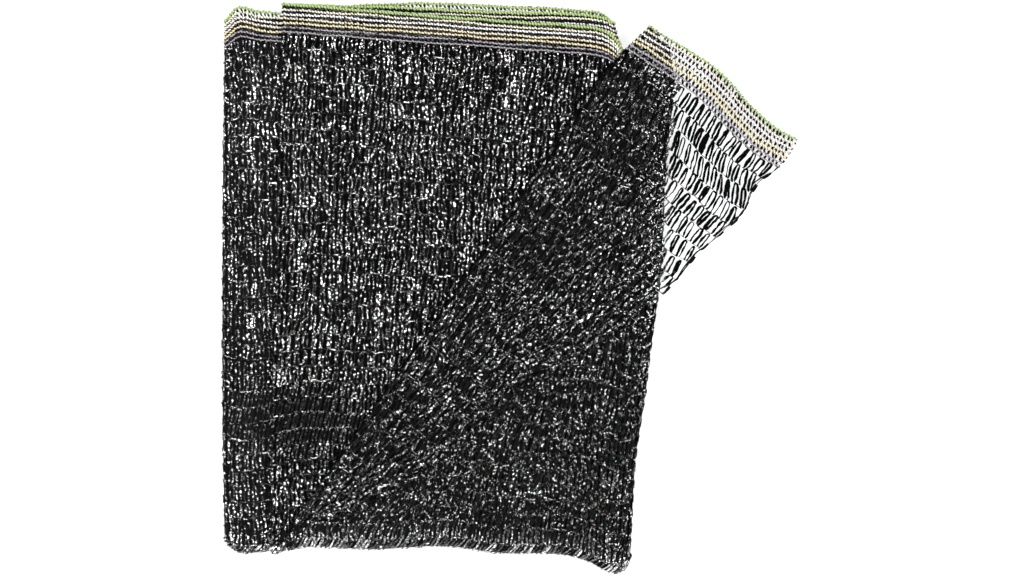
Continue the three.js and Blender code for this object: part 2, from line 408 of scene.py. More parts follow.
def add_piece(name, points, faces, material, smooth=True):
    """A mesh object from its points and its faces, which rides on the cloth's only body.

    The faces come in one array for each number of corners.
    """
    corners = np.concatenate([each.ravel() for each in faces]).astype(np.int32)
    sizes = np.concatenate([np.full(len(each), each.shape[1]) for each in faces])
    mesh = bpy.data.meshes.new(name)
    mesh.vertices.add(len(points))
    mesh.vertices.foreach_set("co", np.asarray(points, np.float32).ravel())
    mesh.loops.add(len(corners))
    mesh.loops.foreach_set("vertex_index", corners)
    mesh.polygons.add(len(sizes))
    mesh.polygons.foreach_set("loop_start", (np.cumsum(sizes) - sizes).astype(np.int32))
    mesh.polygons.foreach_set("use_smooth", np.full(len(sizes), smooth))
    mesh.update(calc_edges=True)
    mesh.materials.append(material)
    piece = add_object(name, mesh)
    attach(piece, "root")
    print(f"{name}: {(sizes - 2).sum()} triangles")
    return piece


def set_values(piece, name, values):
    """Stores one number for each point of a piece, for its material to read."""
    attribute = piece.data.attributes.new(name, "FLOAT", "POINT")
    attribute.data.foreach_set("value", np.asarray(values, np.float32))


def unit(vectors):
    """Vectors of length 1 in the same directions."""
    return vectors / np.maximum(np.linalg.norm(vectors, axis=-1, keepdims=True), 1e-12)


def sweep(path, up, strand, section):
    """Carries cross-sections along strands and returns the points and faces of the closed tubes.

    A section is given by its corners' offsets (sideways, upwards) at every path point. Sideways is the
    path's direction crossed with the cloth's own up direction. A point that would lie below the floor is
    put on it.
    """
    joined = strand[1:] == strand[:-1]
    step = np.diff(path, axis=0) * joined[:, None]
    along = unit(np.vstack([step, step[-1:] * 0]) + np.vstack([step[:1] * 0, step]))
    sideways = unit(np.cross(along, up))
    upwards = np.cross(sideways, along)
    points = path[:, None] + section[..., :1] * sideways[:, None] + section[..., 1:] * upwards[:, None]
    points[..., 2] = np.maximum(points[..., 2], 0)

    sides = section.shape[1]
    corner = np.arange(sides)
    after = np.roll(corner, -1)
    base = np.nonzero(joined)[0][:, None] * sides
    walls = np.stack([base + corner, base + after, base + sides + after, base + sides + corner], axis=-1)
    first = np.append(True, ~joined)
    last = np.append(~joined, True)
    first_caps = np.nonzero(first)[0][:, None] * sides + corner[::-1]
    last_caps = np.nonzero(last)[0][:, None] * sides + corner
    return points.reshape(-1, 3), [walls.reshape(-1, 4), first_caps, last_caps]


print("helpers ready")

# %% [markdown]
# ## Finishes
# A shader is a small sum of noises and stored numbers. Wiring such sums by hand is long, so one class
# wraps a socket and turns Python's operators into Math nodes, and one method adds any other node.

# %% Shader sums
class Wire:
    """A socket that can stand in a Python expression."""

    def __init__(self, finish, socket):
        self.finish = finish
        self.socket = socket

    def _math(self, operation, a, b):
        return self.finish.node("ShaderNodeMath", {"operation": operation}, [a, b])

    def __add__(self, other):
        return self._math("ADD", self, other)

    def __sub__(self, other):
        return self._math("SUBTRACT", self, other)

    def __rsub__(self, other):
        return self._math("SUBTRACT", other, self)

    def __mul__(self, other):
        return self._math("MULTIPLY", self, other)

    __radd__ = __add__
    __rmul__ = __mul__


class Finish:
    """A material that is being made, with its Principled shader."""

    def __init__(self, name, constants):
        self.material = bpy.data.materials.new(name)
        self.material.use_nodes = True
        self.tree = self.material.node_tree
        self.shader = self.tree.nodes["Principled BSDF"]
        for socket, value in constants.items():
            self.shader.inputs[socket].default_value = value

    def node(self, kind, settings, inputs, output=0):
        """Adds a node: its settings first, then the values or links of its sockets, by place or by name."""
        node = self.tree.nodes.new(kind)
        for name, value in settings.items():
            setattr(node, name, value)
        for place, value in inputs.items() if isinstance(inputs, dict) else enumerate(inputs):
            self.put(node.inputs[place], value)
        return Wire(self, node.outputs[output])

    def put(self, socket, value):
        """Links a wire to a socket, or sets the socket's own value."""
        if isinstance(value, Wire):
            self.tree.links.new(value.socket, socket)
        else:
            socket.default_value = value

    def feed(self, socket, value):
        """Sets one of the shader's sockets."""
        self.put(self.shader.inputs[socket], value)

    def noise(self, scale, detail=2.0):
        """Even noise from 0 to 1 through space, with so many grains to the metre."""
        place = self.node("ShaderNodeTexCoord", {}, {}, "Object")
        return self.node("ShaderNodeTexNoise", {}, {"Vector": place, "Scale": scale, "Detail": detail})

    def stored(self, name):
        """A number that is stored on the piece's points."""
        return self.node("ShaderNodeAttribute", {"attribute_name": name}, {}, "Fac")

    def mix(self, share, a, b):
        """A colour between two."""
        return self.node("ShaderNodeMix", {"data_type": "RGBA"}, {0: share, 6: a, 7: b}, 2)

    def bump(self, height, strength, distance):
        """Tilts the surface by a height that is in units of the distance."""
        inputs = {"Height": height, "Strength": strength, "Distance": distance}
        self.feed("Normal", self.node("ShaderNodeBump", {}, inputs))


print("shader helpers ready")

# %% [markdown]
# The tape is smooth black polyethylene, and its gloss is a clear coat. The coat's weight is a number stored
# on the points times a noise of scuffs, which breaks the glints into short strokes. A second stored number
# times a noise of specks mixes in a light grey: specks at the coloured edge, a faint painted sheen on the
# calm legs, and a painted highlight on the rolled lower edge. The yarn of the black chains is rough, so it
# has no coat.

# %% Black tape
INK_BLACK = (0.0006, 0.0006, 0.0006, 1)
SPECK_AND_SHEEN_GREY = (0.75, 0.75, 0.76, 1)


def black_tape():
    """Glossy black tape. How glossy it is, and how much grey of specks and painted sheen it gets, is stored
    on its points.
    """
    finish = Finish("black_tape", {"Coat Roughness": 0.18, "Coat IOR": 3.6, "Specular IOR Level": 0.02})
    grain = finish.noise(420)
    scuffs = finish.noise(1500, 1.0) * 5.2 - 2.1
    specks = finish.noise(850, 1.0) * 6.0 - 2.6
    # Light grey is mixed in for specks, and as painted sheen and painted highlights.
    finish.feed("Base Color", finish.mix(finish.stored("specks_and_painted_sheen") * specks, INK_BLACK, SPECK_AND_SHEEN_GREY))
    finish.feed("Roughness", grain * 0.3 + 0.4)
    finish.feed("Coat Weight", finish.stored("gloss") * scuffs)
    finish.bump(finish.noise(1500, 1.0), 0.5, 0.0004)
    return finish.material


def black_yarn():
    """The thin yarn of the black chains, too rough to glint."""
    finish = Finish("black_yarn", {"Specular IOR Level": 0.05})
    grain = finish.noise(1200, 3.0)
    finish.feed("Base Color", finish.mix(grain * 0.006, INK_BLACK, SPECK_AND_SHEEN_GREY))
    finish.feed("Roughness", grain * 0.3 + 0.5)
    finish.bump(grain, 0.5, 0.0002)
    return finish.material


tape_material = black_tape()
chain_material = black_yarn()
print("made", tape_material.name, "and", chain_material.name)

# %% [markdown]
# The coloured chains are knitted from softer, duller yarn. Which yarn a chain has is stored on its points as
# a number, and a ramp with one flat step for each chain turns it into the yarn's colour. A second stored
# number paints shade into the grooves between the beads, and a noise adds dark specks.

# %% Coloured yarn
CHAIN_COLOURS = [
    (0.32, 0.44, 0.16),
    (0.75, 0.70, 0.56),
    (0.84, 0.83, 0.84),
    (0.75, 0.67, 0.50),
    (0.73, 0.63, 0.39),
    (0.37, 0.34, 0.38),
    (0.34, 0.32, 0.34),
]


def coloured_yarn():
    """Dull coloured yarn. Its ramp has a step for each chain of the coloured edge."""
    finish = Finish("coloured_yarn", {"Specular IOR Level": 0.4})
    ramp = finish.node("ShaderNodeValToRGB", {}, {0: finish.stored("chain")})
    stops = ramp.socket.node.color_ramp
    stops.interpolation = "CONSTANT"
    stops.elements.remove(stops.elements[1])
    for place, colour in enumerate(CHAIN_COLOURS):
        stop = stops.elements[0] if place == 0 else stops.elements.new(place / len(CHAIN_COLOURS))
        stop.color = (*colour, 1)
    # The grooves between the beads are darkened as painted shade, and a noise adds dark specks.
    shade = finish.stored("painted_groove_shade") + finish.noise(1400, 3.0) * 1.2
    finish.feed("Base Color", finish.mix(shade - 0.68, ramp, (0.012, 0.012, 0.012, 1)))
    finish.feed("Roughness", finish.noise(500) * 0.2 + 0.5)
    finish.bump(finish.noise(2200), 0.5, 0.0002)
    return finish.material


yarn_material = coloured_yarn()
print("made", yarn_material.name)

# %% [markdown]
# ## The sheet
# Under the loops that show lies the same cloth again, layer upon layer, and there nothing but darkness can be
# seen between the strands. That depth is one thin dark sheet along all the folds, which stands for the black
# layers below and paints the shade between them. On top of the stack and in the flap the sheet is left open,
# so that light falls between the loops onto what lies below.

# %% The dark sheet inside the folds
FLAT_SIZE = (0.42, 2.06)
LAYER_COLUMNS = 36
ROUND_STEPS = 6
SHEET_ROWS = 72
LAST_V = 1 + ROLL_LENGTH / CLOTH_WIDTH
CLOSED_V = 0.985
OPEN_V = 0.02


def net_depth():
    """Rough black with the ribs of the net, which follow the sheet's own UV map: the hidden layers and
    painted shade.
    """
    finish = Finish("net_depth", {"Specular IOR Level": 0.02})
    place = finish.node("ShaderNodeTexCoord", {}, {}, "UV")
    ribs = finish.node("ShaderNodeTexWave", {}, {"Vector": place, "Scale": 100.0, "Distortion": 3.0})
    grain = ribs * 0.6 + finish.noise(300) * 0.5
    finish.feed("Base Color", finish.mix(grain, (0.001, 0.001, 0.001, 1), (0.004, 0.004, 0.004, 1)))
    finish.feed("Roughness", grain * 0.3 + 0.5)
    finish.bump(grain, 0.6, 0.0008)
    return finish.material


def sheet_columns():
    """The columns of the sheet from end to end, as (layer, t, wrap): each layer after the round before."""
    t = np.linspace(0, 1, LAYER_COLUMNS + 1)
    wrap = np.pi * FOLD_RADIUS * np.linspace(1, 0, ROUND_STEPS, endpoint=False)[1:]
    for layer in range(len(LAYER_NAMES)):
        if layer > 0:
            yield layer, 0 * wrap, wrap
        yield layer, t, 0 * t


def covered(layer, plan):
    """Whether plan points of a layer lie under the layers that fold back over it."""
    if layer <= UNDER:
        return np.full(plan.shape[:-1], True)
    if layer == FLAP:
        return np.full(plan.shape[:-1], False)
    slant = np.interp(plan[..., 1], line_curves[FLAP][::-1, 1], line_curves[FLAP][::-1, 0])
    cut = np.interp(plan[..., 0], line_curves[FLAP + 1][::-1, 0], line_curves[FLAP + 1][::-1, 1])
    under_flap = (plan[..., 0] > slant) & (plan[..., 1] > cut)
    return under_flap if layer == TURNED else plan[..., 0] > slant


def folded_sheet():
    """One surface along all the layers and rounds, without the faces of the open top of the stack.

    Its rounds and its rolled edge are closed, and the strip on the left is open along its coloured edge.
    """
    v = np.linspace(0, LAST_V, SHEET_ROWS + 1)
    columns, hidden = [], []
    for layer, t, wrap in sheet_columns():
        t_grid, v_grid = np.meshgrid(t, v, indexing="ij")
        wrap_grid = np.broadcast_to(wrap[:, None], t_grid.shape)
        columns.append(cloth_point(layer, t_grid, v_grid, 0 * t_grid, wrap_grid))
        closed = (wrap_grid > 0) | (v_grid > CLOSED_V) & (layer < FLAP)
        open_edge = (v_grid < OPEN_V) & (layer == LEFT_STRIP)
        hidden.append((covered(layer, flat_layer(layer, t_grid, v_grid)) | closed) & ~open_edge)
    points = np.concatenate(columns)
    hidden = np.concatenate(hidden)
    number = np.arange(points[..., 0].size).reshape(points.shape[:2])
    quads = np.stack([number[:-1, :-1], number[1:, :-1], number[1:, 1:], number[:-1, 1:]], axis=-1)
    kept = hidden[:-1, :-1] & hidden[1:, :-1] & hidden[1:, 1:] & hidden[:-1, 1:]
    used, quads = np.unique(quads[kept], return_inverse=True)
    sheet = add_piece("folded_sheet", points.reshape(-1, 3)[used], [quads.reshape(-1, 4)], net_depth())

    along = np.repeat(np.linspace(0, FLAT_SIZE[1], len(points)), len(v))
    across = np.tile(v * FLAT_SIZE[0], len(points))
    uv = np.stack([along, across], axis=-1)[used][quads.ravel()]
    sheet.data.uv_layers.new(name="UVMap").data.foreach_set("uv", uv.astype(np.float32).ravel())
    return sheet


sheet = folded_sheet()
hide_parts("shade_cloth")

# %% [markdown]
# ## Chains and rows
# A row of loops runs along the cloth between two chains of stitches. In the body the chains are half an
# inch apart, and at the coloured edge there are seven close together. Each has its own v.

# %% Chains and rows
EDGE_V = 0.0015
SELVEDGE_PITCH_V = 0.0086
WALE_PITCH_V = 0.0302
selvedge_v = EDGE_V + SELVEDGE_PITCH_V * np.arange(len(CHAIN_COLOURS))
wale_v = np.arange(selvedge_v[-1], LAST_V, WALE_PITCH_V)
BODY = (wale_v[:-1], wale_v[1:])
SELVEDGE = (selvedge_v[:-1], selvedge_v[1:])
print("rows:", len(BODY[0]), "in the body and", len(SELVEDGE[0]), "at the coloured edge")

# %% [markdown]
# ## Chance
# Knitted tape is uneven at several scales: stretches of a row lean together, each leg of a loop has its
# own slant and twist, and the tape crumples from point to point. So random numbers are drawn once for a
# few legs, or for one leg, and blended smoothly along the tape. Only crumples are drawn for every point.

# %% Chance and counting
WRAP = 2.6
LENGTH_SAMPLES = 25
random = np.random.default_rng(7)


def wander(position, amount):
    """Random numbers up to the amount, one at each whole position, blended smoothly in between."""
    values = random.uniform(-amount, amount, int(position.max()) + 2)
    index = position.astype(int)
    share = position - index
    return values[index] + (values[index + 1] - values[index]) * share * share * (3 - 2 * share)


def jitter(count, amount):
    """Random numbers that tend to swap sign from one to the next: the differences of plain noise."""
    return np.diff(random.normal(0, amount, count + 1)) / np.sqrt(2)


def row_lengths(layer, v):
    """How long the cloth's rows are at each v, in millimetres."""
    t = np.linspace(0, 1, LENGTH_SAMPLES)
    plan = flat_layer(layer, *np.broadcast_arrays(t, v[:, None]))
    return np.linalg.norm(np.diff(plan, axis=1), axis=2).sum(axis=1)


def count_along(counts):
    """For strands with the given numbers of points: each point's strand, and its place on it from 0."""
    strand = np.repeat(np.arange(len(counts)), counts)
    return strand, np.arange(counts.sum()) - np.repeat(np.cumsum(counts) - counts, counts)


def drop_hidden(keep, strand, *arrays):
    """Keeps some of the points, but none on its own. A strand that is interrupted goes on as a new one."""
    joined = np.append(keep[1:] & keep[:-1] & (strand[1:] == strand[:-1]), False)
    keep = keep & (joined | np.append(False, joined[:-1]))
    breaks = np.append(0, np.cumsum((strand[1:] != strand[:-1]) | ~keep[1:]))
    return [breaks[keep], *(array[keep] for array in arrays)]


print("half way down, a row of the top layer is", row_lengths(TOP, np.array([0.5])).round(), "mm long")

# %% [markdown]
# ## Calm and slack cloth
# Where the cloth is pressed flat its loops lie calm and mirror no lamp. Such patches look darker in the
# picture, so they are listed, as soft ovals. The single layer that hangs over the right side is stretched by
# its own weight, so its tape has no slack left to twist and crumple with.

# %% Calm patches and slack
# Each patch: its middle, its reach in X and Y, and how calm it is.
CALM_PATCHES = [
    ((90, 128), (40, 62), 0.42),
    ((22, 30), (38, 38), 0.5),
    ((-24, -18), (14, 44), 0.35),
    ((-170, -104), (72, 32), 0.92),
    ((-64, -118), (32, 18), 0.3),
    ((0, -92), (32, 18), 0.3),
    ((88, -93), (18, 80), 0.25),
    ((34, -187), (85, 24), 0.3),
    ((-166, 132), (10, 36), 0.5),
    ((-107, 132), (10, 36), 0.5),
]
HANG_EASE = 8.0
HANG_PULL = 0.85


def liveliness(plan):
    """How uneven the loops are: 1, and less in the calm patches.

    A patch takes away its share times exp(-d^4), where d is the distance from its middle in reaches.
    """
    left = np.ones(plan.shape[:-1])
    for middle, reach, share in CALM_PATCHES:
        off = (plan - middle) / reach
        left = left * (1 - share * np.exp(-(off**2).sum(axis=-1) ** 2))
    return left


def slackness(plan):
    """1 on the stack, less a smooth step past its right side, where the single layer hangs."""
    side = line_curves[TURNED][::-1]
    hanging = smoother((plan[..., 0] - np.interp(plan[..., 1], side[:, 1], side[:, 0])) / HANG_EASE)
    return 1 - HANG_PULL * hanging


print("calm patches:", len(CALM_PATCHES))

# %% [markdown]
# ## Rows of loops
# In a row one tape swings up and down between its two chains. Most loops on the real cloth are drawn
# shut: two legs bow apart to an oval, and a short link along the lower chain leads to the next oval. At
# the coloured edge and in hidden layers, open hairpins do. Across the row both are a sine wave. They
# differ in how the tape gets on along the row, and one number blends between the two.
#
# A style holds all that differs from layer to layer, so that each call below names only its style.

# %% Styles of loops
@dataclass
class LoopStyle:
    """How loops are made, in millimetres, radians, numbers of points and shares of 1."""

    pitch: float = 6.3  # length of row for each loop
    steps: int = 30  # path points on each loop
    width: float = 1.9  # width of the tape on a leg
    narrow: float = 0.6  # share of the width that is left at the turns
    thin_leg: float = 0.8  # how far the tape spreads on the second leg of a loop
    uneven: float = 0.15  # how much the width differs from leg to leg
    frayed: float = 0.2  # how much the width differs within a leg
    crinkle: float = 0.45  # how much the tape is crumpled from point to point
    twist: float = 0.1  # how far each leg is turned about itself
    bulge: float = 1.1  # how far the legs of a hairpin or an oval bow
    oval: float = 0.2  # half the room between the legs of an oval
    reach: float = 1.05  # how far the turns reach towards the chains
    slant: tuple = (0.0, 0.0)  # how the legs lean, next to the coloured edge and in the body
    loose: float = 0.12  # how much chance leans and shifts the legs
    shine: float = 1.0  # how glossy the tape is
    over: float = 0.2  # how far the upper turns are raised and the lower ones sunk
    grey_specks: float = 0.0  # how much light grey is specked into the tape
    closed: float = 0.0  # 0 for open hairpins, 1 for closed ovals
    link: float = 1.0  # share of the width that is left on the links
    sheen: float = 0.0  # how strongly some legs shine as a whole


TOP_LOOPS = LoopStyle(crinkle=0.75, oval=1.4, reach=0.93, loose=0.056, shine=1.15, closed=1.0, sheen=0.8)
TURNED_LOOPS = LoopStyle(crinkle=0.2, oval=1.4, loose=0.06, shine=0.66, closed=1.0, sheen=0.3)
UNDER_FLAP_LOOPS = LoopStyle(steps=16, crinkle=0.65, shine=0.36)
UNDER_TOP_LOOPS = LoopStyle(steps=8, crinkle=0.05, twist=0.03, shine=0.2)
OUTLINE_LOOPS = LoopStyle(steps=8, shine=0.2)
FLAP_LOOPS = LoopStyle(
    pitch=7.0, width=2.05, narrow=0.62, thin_leg=0.75, uneven=0.34, frayed=0.4, crinkle=0.27, bulge=1.0,
    oval=1.6, reach=0.97, slant=(-0.36, -0.05), loose=0.11, shine=0.82, closed=1.0, link=0.3,
)
FLAP_EDGE_LOOPS = LoopStyle(
    pitch=7.0, steps=12, narrow=0.3, thin_leg=1.0, crinkle=0.27, bulge=1.0, oval=0.0, reach=1.0,
    slant=(-0.36, -0.05), loose=0.11, shine=0.1, over=0.3, grey_specks=0.4,
)
EDGE_LOOPS = LoopStyle(
    steps=12, width=1.8, narrow=0.5, thin_leg=1.0, crinkle=0.05, bulge=1.0, oval=0.0, slant=(-0.3, -0.3),
    loose=0.02, shine=0.1, over=0.7, grey_specks=0.09,
)
print("pitch of the loops:", TOP_LOOPS.pitch, "mm, and in the flap", FLAP_LOOPS.pitch, "mm")

# %% [markdown]
# First comes the path of the tape on the flat cloth. On the rolled lower edge and in the calm patches the
# legs lean the way that the cloth runs, and elsewhere each leg and each stretch of legs leans by chance.

# %% The path of the loops
ROUND_ENDS = 0.06
OVAL_POWER = 0.6
OVAL_MIDDLE = 0.25
REACH_CHANCE = 0.15
BULGE_CHANCE = 0.4
DRIFT_CHANCE = 0.0016
SHIFT_CHANCE = 4
FREE_PLAY = 1.5
CALM_LEAN = 0.25
SHEAR_REACH = 0.45
ROLL_V = (0.995, 1.035)
ROLL_LEAN = 0.55


def loop_path(layer, rows, style):
    """Where the tapes of a layer's rows run on the cloth.

    Across a row the tape is a sine wave with a little of its third harmonic, for round turns. Along the row
    a hairpin gets on evenly, less a sine of twice the turn. An oval stays in its place, and steps on at its
    lower turn. The legs of both swing to the sides by a power of the cosine.
    """
    top_v, bottom_v = rows
    middle = (top_v + bottom_v) / 2
    length = row_lengths(layer, middle)
    loops = np.maximum(np.round((length + WRAP) / style.pitch), 1).astype(int)
    strand, index = count_along(loops * style.steps + 1)
    s = index / style.steps
    leg = 2 * s + np.append(0, np.cumsum(2 * loops + 2))[strand]
    turn = 2 * np.pi * s
    middle, length, loops = middle[strand], length[strand], loops[strand]

    across = (np.sin(turn) + ROUND_ENDS * np.sin(3 * turn)) / (1 - ROUND_ENDS)
    across = across * (style.reach + wander(leg, REACH_CHANCE))
    half_row = (bottom_v - top_v)[strand] / 2
    row_v = middle - across * half_row
    bulge = style.bulge + wander(leg, BULGE_CHANCE)
    progress = s - bulge * np.sin(2 * turn) / (4 * np.pi)
    progress = progress + style.closed * (OVAL_MIDDLE + np.round(s - OVAL_MIDDLE) - progress)
    swing = np.sign(np.cos(turn)) * np.abs(np.cos(turn)) ** OVAL_POWER
    even = (length + WRAP) / loops * progress - style.oval * bulge * swing - WRAP

    even_plan = flat_layer(layer, np.clip(even / length, 0, 1), np.clip(row_v, 0, LAST_V))
    lively = liveliness(even_plan)
    free = lively * (1 + FREE_PLAY * slackness(even_plan))
    roll = smoother((middle - ROLL_V[0]) / (ROLL_V[1] - ROLL_V[0]))
    heading = 1 if layer % 2 else -1
    lean = style.slant[0] + (style.slant[1] - style.slant[0]) * smoother(middle / SHEAR_REACH)
    lean = lean + free * (wander(leg, style.loose) + wander(leg / 7, style.loose))
    lean = lean + heading * ((1 - lively) * CALM_LEAN + roll * ROLL_LEAN)
    shift = wander(leg, style.loose * SHIFT_CHANCE) + random.normal(0, style.loose, len(s))
    distance = even + lean * across * half_row * CLOTH_WIDTH + free * shift
    v = np.clip(row_v + wander(leg / 9, DRIFT_CHANCE), 0, LAST_V)
    t = np.clip(distance / length, 0, 1)
    return SimpleNamespace(
        strand=strand, leg=leg, turn=turn, across=across, lively=lively, roll=roll, distance=distance,
        length=length, t=t, v=v, wrap=np.clip(-distance, 0, WRAP), plan=flat_layer(layer, t, v),
    )


print("on the rolled edge the legs lean by", np.degrees(np.arctan(ROLL_LEAN)).round(), "degrees")

# %% [markdown]
# Next comes the tape itself: how it is lifted, turned, creased and spread along the path, how glossy it is,
# and how much light grey is painted on it. In a calm patch it crumples only at the turns, and its legs get a
# faint painted sheen. Here and there a leg lies flat and shines as a whole. On the rolled lower edge the legs
# get a painted highlight of light grey.

# %% The tape of the loops
TAPE_LIFT = 0.25
LIFT_CHANCE = 0.2
FLARE = 0.8
TURN_SLACK = 1.2
CALM_POWER = 0.6
ROLL_CALM = 0.3
CRUMPLED_LIFT = 0.3
CRUMPLED_RIDGE = 0.2
LEAST_RIDGE = 0.05
GIRTH_LIMITS = (0.25, 1.6)
LINK_SINE = -0.98
WHOLE_FROM = 0.35
WHOLE_EASE = 0.25
WHOLE_FLAT = 0.8
WHOLE_TILT = 0.5
GLOSSY_WRAP = 0.8
# Grey painted on the tape: a faint sheen on calm legs, and a highlight on the rolled edge.
CALM_PAINTED_SHEEN = 0.013
ROLL_PAINTED_HIGHLIGHT = 2.1


def loop_tape(path, style):
    """The tape along a path of loops: lift, angle, ridge, girth, gloss, and grey of specks and painted sheen.

    The girth grows with the cosine of the turn, so the legs are widest. The gloss goes with the slack's
    fourth power, and is gone where the tape goes round a fold.
    """
    leg, turn, lively = path.leg, path.turn, path.lively
    slack = slackness(path.plan)
    at_turns = TURN_SLACK * np.sin(turn) ** 6
    freed = lively**CALM_POWER
    play = slack * (freed + (1 - freed) * at_turns) * (1 - ROLL_CALM * path.roll)
    lift = TAPE_LIFT + style.over * path.across
    crumples = wander(leg, LIFT_CHANCE) + random.normal(0, CRUMPLED_LIFT * style.crinkle, len(leg))
    lift = lift + play * crumples
    lift = lift + FLARE * np.clip((path.v - 1) / (LAST_V - 1), 0, 1) * (1 + wander(leg, 1.0))

    chosen = wander(leg / 4, 0.7) + wander(leg, 0.5)
    whole = smoother((chosen - WHOLE_FROM) / WHOLE_EASE) * style.sheen
    angle = wander(leg, style.twist) + jitter(len(leg), style.crinkle) * (1 - WHOLE_FLAT * whole)
    angle = play * (angle + WHOLE_TILT * whole)
    ridge = LEAST_RIDGE + play * np.abs(random.normal(0, CRUMPLED_RIDGE * style.crinkle, len(leg)))
    spread = np.maximum(np.cos(turn), -style.thin_leg * np.cos(turn))
    girth = np.clip(1 + wander(leg, style.uneven) + wander(6 * leg, style.frayed), *GIRTH_LIMITS)
    girth = style.width * (style.narrow + (1 - style.narrow) * spread) * girth
    girth = girth * np.where(np.sin(turn) < LINK_SINE, style.link, 1)

    gloss = style.shine * slack**4 * (lively + (1 - lively) * at_turns)
    gloss = gloss * (1 - smoother(path.wrap / GLOSSY_WRAP))
    gloss = gloss * (0.75 + wander(2.5 * leg, 0.25)) * (1 + whole)
    specks_and_painted_sheen = style.grey_specks * slack**4 * (0.5 + wander(3 * leg, 0.5))
    # Calm legs get a faint painted sheen of grey.
    specks_and_painted_sheen = specks_and_painted_sheen + CALM_PAINTED_SHEEN * (1 - lively) * (0.7 + wander(3 * leg, 0.3))
    # On the rolled lower edge the legs get a painted highlight of light grey.
    roll_highlight = path.roll * np.abs(np.cos(turn)) * (0.5 + wander(leg, 0.5)) ** 4
    return lift, angle, ridge, girth, gloss, specks_and_painted_sheen + ROLL_PAINTED_HIGHLIGHT * style.shine * roll_highlight


def tape_section(width, ridge, angle):
    """The three corners of a tape that is creased along its middle, turned about its path by the angle."""
    side = np.stack([width / 2, 0 * width, -width / 2], axis=-1)
    height = np.stack([0 * ridge, ridge, 0 * ridge], axis=-1)
    cosine, sine = np.cos(angle)[:, None], np.sin(angle)[:, None]
    return np.stack([side * cosine - height * sine, side * sine + height * cosine], axis=-1) * MM


print("turns of the flap's tape:", FLAP_LOOPS.width * FLAP_LOOPS.narrow, "mm wide")

# %% [markdown]
# Loops that can never be seen only cost time. Each call therefore takes a test that says which points of
# a layer stay, from where they are in plan, how far along the row, and how far across the cloth.

# %% Which loops stay
OUTLINE_REACH = 12
OUTLINE_V = 0.975
STRIP_X = -176
ON_STACK = 0.6


def everywhere(at):
    """Keeps every loop."""
    return np.full(at.v.shape, True)


def not_past_edge(at):
    """Keeps the loops above the rolled lower edge."""
    return at.v < CLOSED_V


def on_stack(at):
    """Keeps what lies on the stack, above the rolled lower edge."""
    return (slackness(at.plan) > ON_STACK) & (at.v < CLOSED_V)


def not_under_flap(at):
    """Keeps the loops that no flap covers."""
    return ~covered(TURNED, at.plan)


def outside_flap(at):
    """Keeps the turned layer's loops that the flap doesn't cover, and those of its fold on the right."""
    return ~covered(TURNED, at.plan) | (at.distance < OUTLINE_REACH)


def under_flap(at):
    """Keeps the rest of the turned layer's loops, which show only between those of the flap."""
    return ~outside_flap(at)


def left_of_slant(at):
    """Keeps the loops of the layer under the top one, where the top is a single open layer."""
    return ~covered(TOP, at.plan)


def near_outline(at):
    """Keeps the loops that show at the two folds and the lower edge of the stack."""
    at_folds = (at.distance < OUTLINE_REACH) | (at.distance > at.length - OUTLINE_REACH)
    return at_folds | (at.v > OUTLINE_V)


def in_left_strip(at):
    """Keeps the loops left of the top layer, and those that show at the outline."""
    return (at.plan[..., 0] < STRIP_X) | near_outline(at)


print("hidden layers keep", OUTLINE_REACH, "mm of loops at their folds")

# %% [markdown]
# Now the rows can be knitted, all rows of a layer at once: hidden points are dropped, and the rest is
# folded and swept. The tape's faces stay flat, so that each crumple gives a glint of its own.

# %% Rows of loops
PROBE = 0.2


def path_and_up(layer, t, v, lift, wrap=0.0):
    """The folded points of strands, and the way from each to a second point above it on the cloth."""
    path = cloth_point(layer, t, v, lift, wrap)
    return path, cloth_point(layer, t, v, lift + PROBE, wrap) - path


def add_loops(name, layer, rows, visible, style):
    """The loops of a layer's rows, each between two chains, where they are visible."""
    flat = loop_path(layer, rows, style)
    tape = loop_tape(flat, style)
    strand, t, v, wrap, lift, angle, ridge, girth, gloss, specks_and_painted_sheen = drop_hidden(
        visible(flat), flat.strand, flat.t, flat.v, flat.wrap, *tape
    )
    path, up = path_and_up(layer, t, v, lift, wrap)
    section = tape_section(girth, ridge, angle)
    points, faces = sweep(path, up, strand, section)
    piece = add_piece(name, points, faces, tape_material, smooth=False)
    set_values(piece, "gloss", np.repeat(gloss, section.shape[1]))
    set_values(piece, "specks_and_painted_sheen", np.repeat(specks_and_painted_sheen, section.shape[1]))


add_loops("top_loops", TOP, BODY, not_under_flap, TOP_LOOPS)
add_loops("turned_loops", TURNED, BODY, outside_flap, TURNED_LOOPS)
add_loops("turned_under_loops", TURNED, BODY, under_flap, UNDER_FLAP_LOOPS)
add_loops("flap_loops", FLAP, BODY, not_past_edge, FLAP_LOOPS)
add_loops("under_loops", UNDER, BODY, left_of_slant, UNDER_TOP_LOOPS)
add_loops("left_strip_loops", LEFT_STRIP, BODY, in_left_strip, TOP_LOOPS)
for layer in (BOTTOM, SECOND, THIRD):
    add_loops(f"{LAYER_NAMES[layer]}_loops", layer, BODY, near_outline, OUTLINE_LOOPS)

# %% [markdown]
# ## Chains
# A chain of stitches looks like a string of slanted beads. It is a round section along a row whose radius
# goes up and down, and the wave turns round the section as it goes, so the beads lean like stitches. At
# the coloured edge the outermost chain is thick, the two innermost are thin, and dashes of black tape
# cross between all seven.

# %% Chains of stitches
STITCH = 2.4
LEAST_RINGS = 4
CHAIN_SWAY = 0.25
CHAIN_FLATNESS = 0.8
COLOURED_RADIUS = 0.75
STACK_RADIUS = 0.72
STACK_SIZES = np.array([1.45, 1.0, 1.0, 1.0, 1.0, 0.75, 0.65])
FLAP_SIZES = np.array([1.2, 1.0, 1.0, 1.1, 1.2, 0.8, 0.7])
BLACK_CHAINS = {"rings": 2, "sides": 4}


